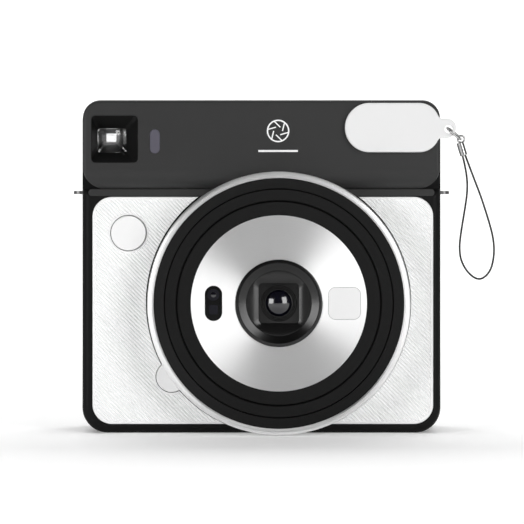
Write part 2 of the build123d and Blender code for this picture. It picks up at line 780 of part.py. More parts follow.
def back_cover():
    """The film door: a ribbed-edged leaf whose hinge edge is round about the pins, notched for the ears."""
    leaf = slab(door_outline(), door_inside, back_face)
    outer_edges = leaf.faces().sort_by(Axis.Y)[-1].edges()
    leaf = fillet([edge for edge in outer_edges if edge.center().X < door_hinge[0] - 0.01], 0.6)
    leaf -= slab(door_outline(-1.6), door_inside - 1, back_face - wall)
    corner = door_hinge_corner
    leaf += rod_z(*door_hinge, door_knuckle, door_bottom + corner, door_top - corner)
    for knuckle in door_knuckles:
        for low, high in ear_spans(*knuckle):
            leaf -= rod_z(*door_hinge, door_knuckle + gap, low - gap, high + gap)
        leaf -= rod_z(*door_hinge, door_pin + running, knuckle[0] - 1, knuckle[1] + 1)
    return leaf - slab(rounded(check_window_size, check_window_centre, 1.5), 24, 30)


def pack_springs():
    """Two bowed leaf springs inside the door, which press the film pack forward."""
    low_y, high_y, thickness = pack_back + 0.4, back_face - wall, 0.35
    strips = []
    for z in (28.0, 74.0):
        face = make_face(Polyline((-24, high_y - thickness), (-20, high_y - thickness), (-6, low_y),
                                  (18, low_y), (30, high_y - thickness), (34, high_y - thickness),
                                  (34, high_y), (29.8, high_y), (17.8, low_y + thickness),
                                  (-5.8, low_y + thickness), (-19.8, high_y), (-24, high_y), close=True))
        strips.append(Pos(0, 0, z - 4) * extrude(face, amount=8))
    return strips


def door_latch():
    x = (latch_x - latch_size[0] / 2, latch_x + latch_size[0] / 2)
    z = (latch_z - latch_size[1] / 2, latch_z + latch_size[1] / 2)
    inside = back_face - wall
    cap = block(x, (inside - 0.4, back_face - 0.05), z)
    for i in range(4):
        groove = z[0] + 2.2 + i * 2.2
        cap -= block((x[0] - 1, x[1] + 1), (back_face - 0.55, back_face + 1), (groove, groove + 1))
    plate = block((x[0] - 1.4, x[1] + 0.6), (inside - 1.4, inside - 0.4), (z[0] - 1, z[1] + latch_travel + 1))
    return cap + plate


def battery_cover():
    """The battery door in the left side, whose hinge edge is round about its pin, notched for the ears."""
    x, y = cover_hinge
    leaf = block((-side, -side + cover_thickness), (y, cover_back), (cover_bottom, cover_top))
    leaf = fillet(leaf.edges().filter_by(Axis.X).group_by(Axis.Y)[-1], cover_corner)
    leaf += rod_z(x, y, cover_knuckle, cover_bottom, cover_top)
    for low, high in ear_spans(*cover_knuckle_span):
        leaf -= rod_z(x, y, cover_knuckle + gap, low - gap, high + gap)
    low, high = cover_knuckle_span
    return leaf - rod_z(x, y, cover_pin + running, low - 1, high + 1)


def hinge_pins():
    pins = []
    for low, high in door_knuckles:
        pins.append(rod_z(*door_hinge, door_pin, low - ear_length, high + ear_length))
    low, high = cover_knuckle_span
    pins.append(rod_z(*cover_hinge, cover_pin, low - ear_length, high + ear_length))
    return pins


def batteries():
    cells = []
    for i in range(2):
        low = cell_bottom + i * (cell_length + 0.4)
        cell = rod_z(*cell_centre, cell_radius, low, low + cell_length - 0.8)
        cell = fillet(cell.edges(), 0.6)
        cells.append(cell + rod_z(*cell_centre, 3.0, low + cell_length - 0.9, low + cell_length))
    return cells


def battery_contacts():
    x = (cell_centre[0] - 5, cell_centre[0] + 5)
    y = (cell_centre[1] - 4, cell_centre[1] + 4)
    top = cell_bottom + 2 * cell_length + 0.4
    lower = block(x, y, (8.2, 8.8)) + rod_z(*cell_centre, 2.5, 8.7, 9.8)
    upper = block(x, y, (top + 0.9, top + 1.5)) + rod_z(*cell_centre, 2.0, top + 0.2, top + 1.0)
    return [lower, upper]


def toothed_wheel(teeth, phase):
    pitch = gear_module * teeth / 2
    root, tip = pitch - 0.62, pitch + 0.42
    points = []
    for i in range(teeth):
        for part_of_pitch, radius in ((-0.25, root), (-0.09, tip), (0.09, tip), (0.25, root)):
            angle = phase + (i + part_of_pitch) * 2 * math.pi / teeth
            points.append((radius * math.cos(angle), radius * math.sin(angle)))
    return make_face(Polyline(*points, close=True))


def mesh_phase(phase, teeth, other_teeth, direction):
    """The phase at which another wheel is in mesh with one that lies in the given direction from it."""
    half_tooth = math.pi / other_teeth
    return direction + math.pi - (phase - direction) * teeth / other_teeth - half_tooth


rear_axis = (film_path + gear_module * roller_teeth / 2, roller_height)
front_axis = (film_path - gear_module * roller_teeth / 2, roller_height)
rear_phase = 0.0
front_phase = mesh_phase(rear_phase, roller_teeth, roller_teeth, math.pi)
to_idler = math.atan2(idler_place[1] - rear_axis[1], idler_place[0] - rear_axis[0])
idler_phase = mesh_phase(rear_phase, roller_teeth, idler_teeth, to_idler)
to_pinion = math.atan2(motor_place[1] - idler_place[1], motor_place[0] - idler_place[0])
pinion_phase = mesh_phase(idler_phase, idler_teeth, pinion_teeth, to_pinion)


def roller(axis, phase):
    form = rod_x(*axis, roller_radius, *roller_span)
    form += rod_x(*axis, roller_shaft, left_plate[0], gear_span[1])
    return form + bar(Pos(*axis) * toothed_wheel(roller_teeth, phase), *gear_span)


def roller_bracket():
    left = block(left_plate, (0, 17.5), (99.6, 115.5))
    right = block(right_plate, (0, 26.6), (99.6, 115.5))
    bracket = left + right
    for y in (0.0, 15.8):
        bracket += block((left_plate[0], right_plate[1]), (y, y + 1.5), (112.0, 115.0))
    for axis in (front_axis, rear_axis):
        bracket -= rod_x(*axis, roller_shaft + running, left_plate[0] - 1, right_plate[1] + 1)
    bracket -= rod_x(*motor_place, 2.0, right_plate[0] - 1, right_plate[1] + 1)
    return bracket + rod_x(*idler_place, idler_stud, right_plate[0] + 0.5, gear_span[1] + 0.5)


def idler_gear():
    wheel = toothed_wheel(idler_teeth, idler_phase) - Circle(idler_stud + running)
    return bar(Pos(*idler_place) * wheel, *gear_span)


def motor_pinion():
    wheel = toothed_wheel(pinion_teeth, pinion_phase) - Circle(motor_shaft + running)
    return bar(Pos(*motor_place) * wheel, *gear_span)


def drive_motor():
    form = rod_x(*motor_place, motor_radius, 25.0, right_plate[0] - fit)
    form += rod_x(*motor_place, 1.6, right_plate[0] - 1, right_plate[1])
    return form + rod_x(*motor_place, motor_shaft, right_plate[0], gear_span[1] + 0.5)


def film_claw():
    form = block((49.4, 51.4), (8.6, 9.8), (10.0, 50.0))
    return form + block((lens_x + pack_width / 2 + 0.6, 50.0), (8.6, 9.8), (10.0, 12.0))


def main_board():
    board = block(board_span, (-6.0, 21.0), (12.0, 84.0))
    chips = (((-3.0, 5.0), (60.0, 68.0), 1.2), ((8.0, 18.0), (62.0, 74.0), 1.6),
             ((-2.0, 3.0), (40.0, 50.0), 0.9), ((10.0, 17.0), (54.0, 58.0), 2.4))
    for y, z, thickness in chips:
        board += block((board_span[0] - thickness, board_span[0] + 0.1), y, z)
    return board


def flash_capacitor():
    can = rod_z(*capacitor_centre, capacitor_radius, 20.0, 28.0)
    can += rod_z(*capacitor_centre, capacitor_radius, 28.5, 52.0)
    return can + rod_z(*capacitor_centre, capacitor_radius - 0.3, 27.5, 29.0)


def all_parts():
    left_panel, right_panel = front_panels()
    parts = {
        "front_shell": front_shell(), "top_hood": top_hood(), "back_shell": back_shell(),
        "left_front_panel": left_panel, "right_front_panel": right_panel,
        "lens_trim_ring": lens_trim_ring(), "barrel_sleeve": barrel_sleeve(),
        "outer_barrel": outer_barrel(), "inner_barrel": inner_barrel(),
        "lens_plate": lens_plate(), "lens_bezel": lens_bezel(),
        "front_lens": front_lens(), "rear_lens": rear_lens(), "shutter_housing": shutter_housing(),
        "left_shutter_blade": shutter_blade(-1, left_blade_front),
        "right_shutter_blade": shutter_blade(1, right_blade_front),
        "sensor_window": plug(sensor_size, (lens_x + sensor_offset, lens_z), sensor_corner,
                              plate_front, plate_back - 0.1),
        "selfie_mirror": plug((mirror_size, mirror_size), (lens_x + mirror_offset, lens_z), mirror_corner,
                              plate_front - 0.2, plate_back - 0.1),
        "viewfinder_tube": viewfinder_tube(),
        "viewfinder_front_lens": finder_front_lens(), "viewfinder_rear_lens": finder_rear_lens(),
        "eyepiece_surround": eyepiece_surround(),
        "light_sensor_window": plug(sensor_slot, sensor_slot_centre, 1.84,
                                    hood_front + 0.25, hood_front + 2.7),
        "flash_window": plug(flash_size, flash_centre, flash_corner, hood_front + 0.05, hood_front + 1.5),
        "flash_reflector": flash_reflector(), "flash_tube": flash_tube(),
        "flash_capacitor": flash_capacitor(), "main_board": main_board(),
        "film_counter_window": plug(counter_size, counter_centre, 1.0, back_face - 1.5, back_face - 0.1),
        "film_check_window": plug(check_window_size, check_window_centre, 1.5,
                                  back_face - 1.8, back_face - 0.1),
        "film_chamber": film_chamber(), "film_cassette": film_cassette(), "film_sheets": film_sheets(),
        "back_cover": back_cover(), "pack_springs": pack_springs(), "door_latch": door_latch(),
        "battery_cover": battery_cover(), "hinge_pins": hinge_pins(),
        "batteries": batteries(), "battery_contacts": battery_contacts(),
        "front_roller": roller(front_axis, front_phase), "rear_roller": roller(rear_axis, rear_phase),
        "roller_bracket": roller_bracket(), "idler_gear": idler_gear(), "motor_pinion": motor_pinion(),
        "drive_motor": drive_motor(), "film_claw": film_claw(),
        "shutter_button": shutter_button(), "power_button": power_button(),
        "strap_lug_left": strap_lug(-1), "strap_lug_right": strap_lug(1),
        "tripod_socket": tripod_socket(), "case_screws": case_screws(),
        "flash_filter": flash_filter(), "strap_ring": strap_ring(), "strap_ferrule": strap_ferrule(),
        "filter_strap_cord": filter_strap_cord(),
    }
    for name, height in back_button_heights.items():
        parts[name] = back_button(height)
    return parts


def main():
    os.makedirs("parts", exist_ok=True)
    for name, shape in all_parts().items():
        if isinstance(shape, list):
            shape = Compound(children=[piece.solid() for piece in shape])
        export_step(shape, f"parts/{name}.step")


main()
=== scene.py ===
import json
import math

import bmesh
import bpy
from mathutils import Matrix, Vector
from mathutils.geometry import delaunay_2d_cdt


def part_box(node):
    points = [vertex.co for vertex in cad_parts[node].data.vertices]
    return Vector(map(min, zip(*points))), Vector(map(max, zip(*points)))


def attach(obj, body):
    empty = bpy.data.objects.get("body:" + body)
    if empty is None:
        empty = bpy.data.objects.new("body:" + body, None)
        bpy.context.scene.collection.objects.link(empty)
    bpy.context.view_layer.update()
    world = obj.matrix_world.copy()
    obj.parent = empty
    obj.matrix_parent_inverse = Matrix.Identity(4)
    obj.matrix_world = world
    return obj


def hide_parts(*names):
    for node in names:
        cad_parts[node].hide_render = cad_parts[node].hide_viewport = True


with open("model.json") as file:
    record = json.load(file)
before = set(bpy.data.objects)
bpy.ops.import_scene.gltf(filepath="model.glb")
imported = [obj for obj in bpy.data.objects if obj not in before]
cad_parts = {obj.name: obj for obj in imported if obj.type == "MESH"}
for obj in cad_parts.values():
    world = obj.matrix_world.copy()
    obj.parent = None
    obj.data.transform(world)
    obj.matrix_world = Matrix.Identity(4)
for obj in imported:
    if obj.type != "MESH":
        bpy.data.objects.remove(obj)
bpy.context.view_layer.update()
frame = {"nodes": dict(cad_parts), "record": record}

nodes = frame["nodes"]
MM = 0.001


def box_mm(node):
    low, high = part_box(node)
    return [v / MM for v in low], [v / MM for v in high]


def middle(low, high):
    return [(a + b) / 2 for a, b in zip(low, high)]


# ---------------------------------------------------------------- places read from the frame, in millimetres

ring_low, ring_high = box_mm("lens_trim_ring")
LENS_X = (ring_low[0] + ring_high[0]) / 2
RING_RADIUS = (ring_high[0] - ring_low[0]) / 2
plate_low, plate_high = box_mm("lens_plate")
LENS_Z = (plate_low[2] + plate_high[2]) / 2
PLATE_FRONT = plate_low[1]
left_panel, right_panel = box_mm("left_front_panel"), box_mm("right_front_panel")
panel_low = [min(pair) for pair in zip(left_panel[0], right_panel[0])]
panel_high = [max(pair) for pair in zip(left_panel[1], right_panel[1])]
hood_low, hood_high = box_mm("top_hood")

# ---------------------------------------------------------------- camera, lights and floor

# metres and watts, apart from the lens and the sensor
CAMERA_PLACE = (0.0002, -0.845, 0.061)
CAMERA_LENS_MM = 160.3
SENSOR_WIDTH_MM = 36.0
NEAREST_SEEN = 0.01
FLOOR_HALF = 3.0
SWEEP_START = 0.9
SWEEP_RADIUS = 0.8
SWEEP_STEPS = 24
FLOOR_WHITE = 0.93
FLOOR_ROUGHNESS = 0.9
FLOOR_GLOW = 0.14
WORLD_GLOW = 0.03
OBJECT_MIDDLE = (0, 0, 0.06)
SWEEP_FOOT = (0, 1.2, 0)

# each softbox's place, the point it faces, its width and height, and its power
SOFTBOXES = {
    "left_softbox": ((-0.76, -0.78, 0.25), OBJECT_MIDDLE, (0.52, 0.48), 4.6),
    "right_softbox": ((0.61, -0.89, 0.36), OBJECT_MIDDLE, (0.5, 0.7), 5.8),
    "top_softbox": ((0, -0.2, 1.24), OBJECT_MIDDLE, (1.2, 0.6), 3.1),
    "back_softbox": ((0, 1.3, 1.5), SWEEP_FOOT, (2.6, 1.2), 36),
}


def make_camera():
    data = bpy.data.cameras.new("camera")
    data.lens = CAMERA_LENS_MM
    data.sensor_width = SENSOR_WIDTH_MM
    data.clip_start = NEAREST_SEEN
    camera = bpy.data.objects.new("camera", data)
    camera.location = CAMERA_PLACE
    camera.rotation_euler = (math.radians(90), 0, 0)
    bpy.context.scene.collection.objects.link(camera)
    bpy.context.scene.camera = camera


def area_light(name, place, target, size, power):
    data = bpy.data.lights.new(name, "AREA")
    data.shape = "RECTANGLE"
    data.size, data.size_y = size
    data.energy = power
    light = bpy.data.objects.new(name, data)
    light.location = place
    direction = Vector(target) - Vector(place)
    light.rotation_euler = direction.to_track_quat("-Z", "Y").to_euler()
    light.visible_camera = False
    bpy.context.scene.collection.objects.link(light)


def make_lights():
    for name, (place, target, size, power) in SOFTBOXES.items():
        area_light(name, place, target, size, power)


def make_world():
    world = bpy.data.worlds.new("studio")
    bpy.context.scene.world = world
    world.use_nodes = True
    background = world.node_tree.nodes["Background"]
    background.inputs["Color"].default_value = (1, 1, 1, 1)
    background.inputs["Strength"].default_value = WORLD_GLOW


def add_mesh(name, vertices, faces):
    mesh = bpy.data.meshes.new(name)
    mesh.from_pydata(vertices, [], faces)
    mesh.update()
    piece = bpy.data.objects.new(name, mesh)
    bpy.context.scene.collection.objects.link(piece)
    return piece


def make_floor():
    """A pale floor that runs up into a wall behind the object in one smooth sweep."""
    rows = [(-FLOOR_HALF, 0.0)]
    for i in range(SWEEP_STEPS + 1):
        angle = math.pi / 2 * i / SWEEP_STEPS
        rows.append((SWEEP_START + SWEEP_RADIUS * math.sin(angle), SWEEP_RADIUS * (1 - math.cos(angle))))
    rows.append((SWEEP_START + SWEEP_RADIUS, 2 * FLOOR_HALF))
    vertices, faces = [], []
    for y, z in rows:
        vertices += [(-FLOOR_HALF, y, z), (FLOOR_HALF, y, z)]
    for i in range(len(rows) - 1):
        faces.append((2 * i, 2 * i + 1, 2 * i + 3, 2 * i + 2))
    floor = add_mesh("studio_floor", vertices, faces)
    floor.data.polygons.foreach_set("use_smooth", [True] * len(floor.data.polygons))
    floor.data.materials.append(floor_paper())


def floor_paper():
    paper, _, shader = principled("floor_paper")
    shader.inputs["Base Color"].default_value = (*grey(FLOOR_WHITE), 1)
    shader.inputs["Roughness"].default_value = FLOOR_ROUGHNESS
    shader.inputs["Emission Color"].default_value = (1, 1, 1, 1)
    shader.inputs["Emission Strength"].default_value = FLOOR_GLOW
    return paper


# ---------------------------------------------------------------- mesh helpers

class Builder:
    """Collects vertices in millimetres and faces, and makes one piece of them in metres."""

    def __init__(self):
        self.vertices = []
        self.faces = []

    def add(self, vertices, faces):
        start = len(self.vertices)
        self.vertices += [tuple(v) for v in vertices]
        self.faces += [tuple(start + i for i in face) for face in faces]

    def loft(self, loops, close_ends=True):
        """Closed loops of equal length, joined in turn, with flat ends."""
        count = len(loops[0])
        start = len(self.vertices)
        for loop in loops:
            self.vertices += [tuple(v) for v in loop]
        for k in range(len(loops) - 1):
            for i in range(count):
                j = (i + 1) % count
                a, b = start + k * count, start + (k + 1) * count
                self.faces.append((a + i, a + j, b + j, b + i))
        if close_ends:
            self.faces.append(tuple(start + i for i in reversed(range(count))))
            self.faces.append(tuple(start + (len(loops) - 1) * count + i for i in range(count)))

    def piece(self, name, body, material, smooth_angle=None):
        """Makes the piece with outward normals, and rides it on its body."""
        piece = add_mesh(name, [tuple(c * MM for c in v) for v in self.vertices], self.faces)
        mesh = piece.data
        work = bmesh.new()
        work.from_mesh(mesh)
        bmesh.ops.recalc_face_normals(work, faces=work.faces)
        work.to_mesh(mesh)
        work.free()
        if smooth_angle is not None:
            mesh.polygons.foreach_set("use_smooth", [True] * len(mesh.polygons))
            mesh.set_sharp_from_angle(angle=math.radians(smooth_angle))
        mesh.materials.append(materials[material])
        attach(piece, body)
        return piece


def circle(centre, radius, y, count):
    """Points of a circle in a plane that faces the front."""
    angles = [2 * math.pi * i / count for i in range(count)]
    return [(centre[0] + radius * math.cos(a), y, centre[1] + radius * math.sin(a)) for a in angles]


def turned(builder, centre, profile, count):
    """Adds a closed profile of (radius, y) points, turned about an axis along Y."""
    start = len(builder.vertices)
    size = len(profile)
    for i in range(count):
        angle = 2 * math.pi * i / count
        for radius, y in profile:
            x, z = centre[0] + radius * math.cos(angle), centre[1] + radius * math.sin(angle)
            builder.vertices.append((x, y, z))
    for i in range(count):
        a, b = start + i * size, start + (i + 1) % count * size
        for k in range(size):
            n = (k + 1) % size
            builder.faces.append((a + k, a + n, b + n, b + k))


def rounded_rectangle(low, high, corner, y, steps=8):
    points = []
    centres = ((high[0] - corner, high[1] - corner), (low[0] + corner, high[1] - corner),
               (low[0] + corner, low[1] + corner), (high[0] - corner, low[1] + corner))
    for quarter, (x, z) in enumerate(centres):
        for i in range(steps + 1):
            angle = math.pi / 2 * (quarter + i / steps)
            points.append((x + corner * math.cos(angle), y, z + corner * math.sin(angle)))
    return points


# ---------------------------------------------------------------- materials

# noise per metre: fine grain, and the broad shifts of colour
PLASTIC_GRAIN, PLASTIC_SHIFT = 2600, 60
METAL_GRAIN, METAL_SHIFT = 900, 90
GLASS_SMEAR = 140
BRUSH_STREAKS = 5200
GRAIN_DETAIL, SHIFT_DETAIL, BRUSH_DETAIL = 3.0, 2.0, 4.0
# the bumps' strength, and their depth in metres
PLASTIC_BUMP, METAL_BUMP, BRUSH_BUMP = 0.35, 0.2, 0.15
PLASTIC_DEPTH, METAL_DEPTH, BRUSH_DEPTH = 0.00003, 0.00001, 0.000006
GLASS_DIM = 0.94
GLASS_ROUGHER = 0.03


def principled(name):
    material = bpy.data.materials.new(name)
    material.use_nodes = True
    tree = material.node_tree
    return material, tree, tree.nodes["Principled BSDF"]


def noise(tree, scale, detail):
    """Noise in the piece's own metres."""
    coordinates = tree.nodes.new("ShaderNodeTexCoord")
    texture = tree.nodes.new("ShaderNodeTexNoise")
    texture.inputs["Scale"].default_value = scale
    texture.inputs["Detail"].default_value = detail
    tree.links.new(coordinates.outputs["Object"], texture.inputs["Vector"])
    return texture.outputs["Fac"]


def ranged(tree, value, low, high):
    node = tree.nodes.new("ShaderNodeMapRange")
    node.inputs["To Min"].default_value = low
    node.inputs["To Max"].default_value = high
    tree.links.new(value, node.inputs["Value"])
    return node.outputs["Result"]


def vary_colour(tree, shader, value, dark, light):
    mix = tree.nodes.new("ShaderNodeMix")
    mix.data_type = "RGBA"
    mix.inputs["A"].default_value = (*dark, 1)
    mix.inputs["B"].default_value = (*light, 1)
    tree.links.new(value, mix.inputs["Factor"])
    tree.links.new(mix.outputs["Result"], shader.inputs["Base Color"])


def bump(tree, shader, value, strength, distance):
    node = tree.nodes.new("ShaderNodeBump")
    node.inputs["Strength"].default_value = strength
    node.inputs["Distance"].default_value = distance
    tree.links.new(value, node.inputs["Height"])
    tree.links.new(node.outputs["Normal"], shader.inputs["Normal"])


def moulded(name, dark, light, roughness, grain=PLASTIC_GRAIN, depth=PLASTIC_DEPTH, specular=0.5):
    """Moulded plastic with a fine spark-eroded grain and slight shifts of colour and gloss."""
    material, tree, shader = principled(name)
    fine = noise(tree, grain, GRAIN_DETAIL)
    vary_colour(tree, shader, noise(tree, PLASTIC_SHIFT, SHIFT_DETAIL), dark, light)
    tree.links.new(ranged(tree, fine, *roughness), shader.inputs["Roughness"])
    shader.inputs["Specular IOR Level"].default_value = specular
    bump(tree, shader, fine, PLASTIC_BUMP, depth)
    return material


def metal(name, dark, light, roughness, depth=METAL_DEPTH):
    material, tree, shader = principled(name)
    fine = noise(tree, METAL_GRAIN, GRAIN_DETAIL)
    vary_colour(tree, shader, noise(tree, METAL_SHIFT, SHIFT_DETAIL), dark, light)
    shader.inputs["Metallic"].default_value = 1.0
    tree.links.new(ranged(tree, fine, *roughness), shader.inputs["Roughness"])
    bump(tree, shader, fine, METAL_BUMP, depth)
    return material


def brushed(name, dark, light, roughness, anisotropy):
    """Metal brushed in circles about the lens axis: the grain is streaks at one distance from the axis."""
    material, tree, shader = principled(name)
    coordinates = tree.nodes.new("ShaderNodeTexCoord")
    outward = vector_math(tree, "SUBTRACT", coordinates.outputs["Object"], (LENS_X * MM, 0, LENS_Z * MM))
    flat = vector_math(tree, "MULTIPLY", outward, (1, 0, 1))
    radial = vector_math(tree, "NORMALIZE", flat)
    length = tree.nodes.new("ShaderNodeVectorMath")
    length.operation = "LENGTH"
    tree.links.new(flat, length.inputs[0])
    streaks = tree.nodes.new("ShaderNodeTexNoise")
    streaks.noise_dimensions = "1D"
    streaks.inputs["Scale"].default_value = BRUSH_STREAKS
    streaks.inputs["Detail"].default_value = BRUSH_DETAIL
    tree.links.new(length.outputs["Value"], streaks.inputs["W"])
    vary_colour(tree, shader, streaks.outputs["Fac"], dark, light)
    tree.links.new(ranged(tree, streaks.outputs["Fac"], *roughness), shader.inputs["Roughness"])
    shader.inputs["Metallic"].default_value = 1.0
    shader.inputs["Anisotropic"].default_value = anisotropy
    tree.links.new(radial, shader.inputs["Tangent"])
    bump(tree, shader, streaks.outputs["Fac"], BRUSH_BUMP, BRUSH_DEPTH)
    return material


def vector_math(tree, operation, source, constant=None):
    node = tree.nodes.new("ShaderNodeVectorMath")
    node.operation = operation
    tree.links.new(source, node.inputs[0])
    if constant is not None:
        node.inputs[1].default_value = constant
    return node.outputs["Vector"]


def glassy(name, colour, roughness, transmission, ior=1.5):
    material, tree, shader = principled(name)
    smear = noise(tree, GLASS_SMEAR, SHIFT_DETAIL)
    vary_colour(tree, shader, smear, tuple(c * GLASS_DIM for c in colour), colour)
    tree.links.new(ranged(tree, smear, roughness, roughness + GLASS_ROUGHER), shader.inputs["Roughness"])
    shader.inputs["Transmission Weight"].default_value = transmission
    shader.inputs["IOR"].default_value = ior
    return material


def grey(value):
    return (value, value, value)


def slot_materials():
    """Every look by its name, with the dark and light ends of its colour and the range of its roughness."""
    made = {}

    def make(maker, name, *looks, **options):
        made[name] = maker(name, *looks, **options)

    make(moulded, "black_casing", grey(0.005), grey(0.007), (0.45, 0.55), specular=0.1)
    make(moulded, "hood_grey", grey(0.022), grey(0.027), (0.45, 0.55), specular=0.3)
    make(moulded, "white_panel", grey(0.9), grey(0.92), (0.34, 0.42), depth=0.00001)
    make(brushed, "satin_metal", grey(0.86), grey(0.92), (0.38, 0.44), 0.7)
    make(moulded, "barrel_black", grey(0.004), grey(0.006), (0.5, 0.6), specular=0.15)
    make(brushed, "brushed_plate", grey(0.82), grey(0.94), (0.36, 0.43), 0.9)
    make(moulded, "bezel_black", grey(0.002), grey(0.003), (0.2, 0.26), depth=0.000001, specular=0.5)
    make(moulded, "sensor_trim", (0.008, 0.008, 0.011), (0.011, 0.011, 0.016), (0.3, 0.4), specular=0.15)
    make(moulded, "gloss_black", grey(0.002), grey(0.003), (0.12, 0.18), depth=0.000001, specular=0.3)
    make(glassy, "lens_glass", (0.002, 0.002, 0.006), 0.11, 0.0, 1.85)
    make(glassy, "clear_window", (0.97, 0.97, 0.97), 0.0, 1.0, 1.8)
    make(glassy, "smoked_window", (0.11, 0.105, 0.13), 0.15, 0.0)
    make(metal, "mirror", grey(0.9), grey(0.92), (0.46, 0.5), depth=0.0)
    make(moulded, "filter_white", grey(0.74), grey(0.77), (0.35, 0.42), depth=0.000004)
    make(moulded, "button_white", grey(0.87), grey(0.9), (0.3, 0.36), depth=0.000004)
    make(moulded, "button_black", grey(0.014), grey(0.018), (0.25, 0.33), depth=0.000006)
    make(metal, "reflector", grey(0.88), grey(0.92), (0.06, 0.12))
    make(glassy, "flash_glass", (0.95, 0.95, 0.92), 0.02, 1.0)
    make(metal, "steel", grey(0.58), grey(0.66), (0.22, 0.34))
    make(metal, "spring_steel", grey(0.5), grey(0.58), (0.28, 0.38))
    make(metal, "blade_black", grey(0.03), grey(0.04), (0.45, 0.55))
    make(metal, "brass", (0.66, 0.5, 0.22), (0.74, 0.58, 0.28), (0.22, 0.36))
    make(moulded, "roller_rubber", grey(0.03), grey(0.045), (0.7, 0.85), depth=0.00005)
    make(moulded, "gear_nylon", grey(0.62), grey(0.7), (0.4, 0.5))
    make(moulded, "chamber_black", grey(0.003), grey(0.004), (0.45, 0.55), specular=0.2)
    make(moulded, "cassette", grey(0.03), grey(0.04), (0.45, 0.6))
    make(moulded, "film", grey(0.72), grey(0.8), (0.35, 0.5), depth=0.000004)
    make(moulded, "battery_wrap", (0.10, 0.12, 0.15), (0.13, 0.15, 0.19), (0.2, 0.3))
    make(moulded, "board_green", (0.02, 0.13, 0.06), (0.03, 0.17, 0.08), (0.25, 0.4))
    make(moulded, "capacitor_sleeve", (0.02, 0.025, 0.05), (0.03, 0.035, 0.07), (0.2, 0.3))
    make(moulded, "cord_black", grey(0.008), grey(0.02), (0.6, 0.8), grain=4000, depth=0.0001)
    make(glassy, "check_window_amber", (0.5, 0.3, 0.05), 0.1, 0.4)
    make(metal, "crimp_metal", grey(0.36), grey(0.48), (0.16, 0.24))
    make(metal, "lug_metal", grey(0.16), grey(0.22), (0.3, 0.4))
    make(moulded, "seam_grey", grey(0.2), grey(0.24), (0.5, 0.6))
    make(moulded, "mark_white", grey(0.84), grey(0.88), (0.4, 0.5), depth=0.000002)
    return made


# CAD nodes whose look is finer than their slot's
OWN_MATERIALS = {"strap_ferrule": "crimp_metal", "strap_ring": "crimp_metal",
                 "strap_lug_left": "lug_metal", "strap_lug_right": "lug_metal"}


def paint_cad_nodes():
    for entry in frame["record"]["subparts"]:
        material = OWN_MATERIALS.get(entry["node"], entry["material_slot"])
        nodes[entry["node"]].material_slots[0].material = materials[material]


# ---------------------------------------------------------------- ribbed front panels

PANEL_CORNER = 7.0
RIB_PITCH = 1.05
RIB_HEIGHT = 0.38
RIB_STEPS = 6
RIB_MARGIN = 0.9
RIB_FADE = 0.2
HOLE_MARGIN = 0.55
EDGE_START = 0.1
EDGE_EASE = 0.35
RING_GAP = 1.2
SLANT = math.sqrt(0.5)
CUT_REACH = 200.0
CUT_TOLERANCE = 1e-5
OUTLINE_STEPS, HOLE_STEPS, RING_STEPS = 14, 96, 360
# each button's hole: x, z and radius
SHUTTER_HOLE = (-47.4, 71.3, 6.5)
POWER_HOLE = (-32.0, 20.1, 5.75)
HOLES = (SHUTTER_HOLE, POWER_HOLE)


def outline_distance(x, z):
    """How far a point lies inside the panels' rounded outline."""
    half = [(b - a) / 2 for a, b in zip(panel_low, panel_high)]
    centre = middle(panel_low, panel_high)
    dx = abs(x - centre[0]) - (half[0] - PANEL_CORNER)
    dz = abs(z - centre[2]) - (half[2] - PANEL_CORNER)
    outside = math.hypot(max(dx, 0), max(dz, 0))
    return PANEL_CORNER - outside - min(max(dx, dz), 0)


def rib_relief(x, z):
    """How far the face lies behind its front plane: rounded ribs, and a plain border round each edge."""
    edge = outline_distance(x, z)
    from_holes = [math.hypot(x - hx, z - hz) - radius - HOLE_MARGIN for hx, hz, radius in HOLES]
    border = min(edge - RIB_MARGIN, *from_holes)
    strength = min(max(border / RIB_FADE, 0.0), 1.0)
    phase = ((x + z) * SLANT / RIB_PITCH) % 1.0
    depth = RIB_HEIGHT * (1 - math.sin(math.pi * phase)) * strength
    if edge < EDGE_EASE:
        depth += EDGE_EASE * (1 - math.sqrt(max(0.0, 1 - (1 - edge / EDGE_EASE) ** 2)))
    return depth


def loop_points(inset, steps):
    low = (panel_low[0] + inset, panel_low[2] + inset)
    high = (panel_high[0] - inset, panel_high[2] - inset)
    return [(x, z) for x, _, z in rounded_rectangle(low, high, PANEL_CORNER - inset, 0, steps)]


def circle_points(x, z, radius, count):
    return [(px, pz) for px, _, pz in circle((x, z), radius, 0, count)]


def panel_lines():
    """Points and edges of all that the panels' triangles follow: the outline, the holes and every rib."""
    points, edges = [], []

    def add_loop(loop):
        start = len(points)
        points.extend(loop)
        edges.extend((start + i, start + (i + 1) % len(loop)) for i in range(len(loop)))

    for inset in (0.0, EDGE_START, EDGE_EASE, RIB_MARGIN, RIB_MARGIN + RIB_FADE):
        add_loop(loop_points(inset, OUTLINE_STEPS))
    for hx, hz, radius in HOLES:
        for grow in (0.0, HOLE_MARGIN, HOLE_MARGIN + RIB_FADE):
            add_loop(circle_points(hx, hz, radius + grow, HOLE_STEPS))
    add_loop(circle_points(LENS_X, LENS_Z, RING_RADIUS + RING_GAP, RING_STEPS))
    first = math.floor((panel_low[0] + panel_low[2]) * SLANT / RIB_PITCH) * RIB_STEPS
    last = math.ceil((panel_high[0] + panel_high[2]) * SLANT / RIB_PITCH) * RIB_STEPS
    for k in range(first, last + 1):
        s = k * RIB_PITCH / RIB_STEPS
        start = len(points)
        points.append((s * SLANT - CUT_REACH, s * SLANT + CUT_REACH))
        points.append((s * SLANT + CUT_REACH, s * SLANT - CUT_REACH))
        edges.append((start, start + 1))
    return points, edges


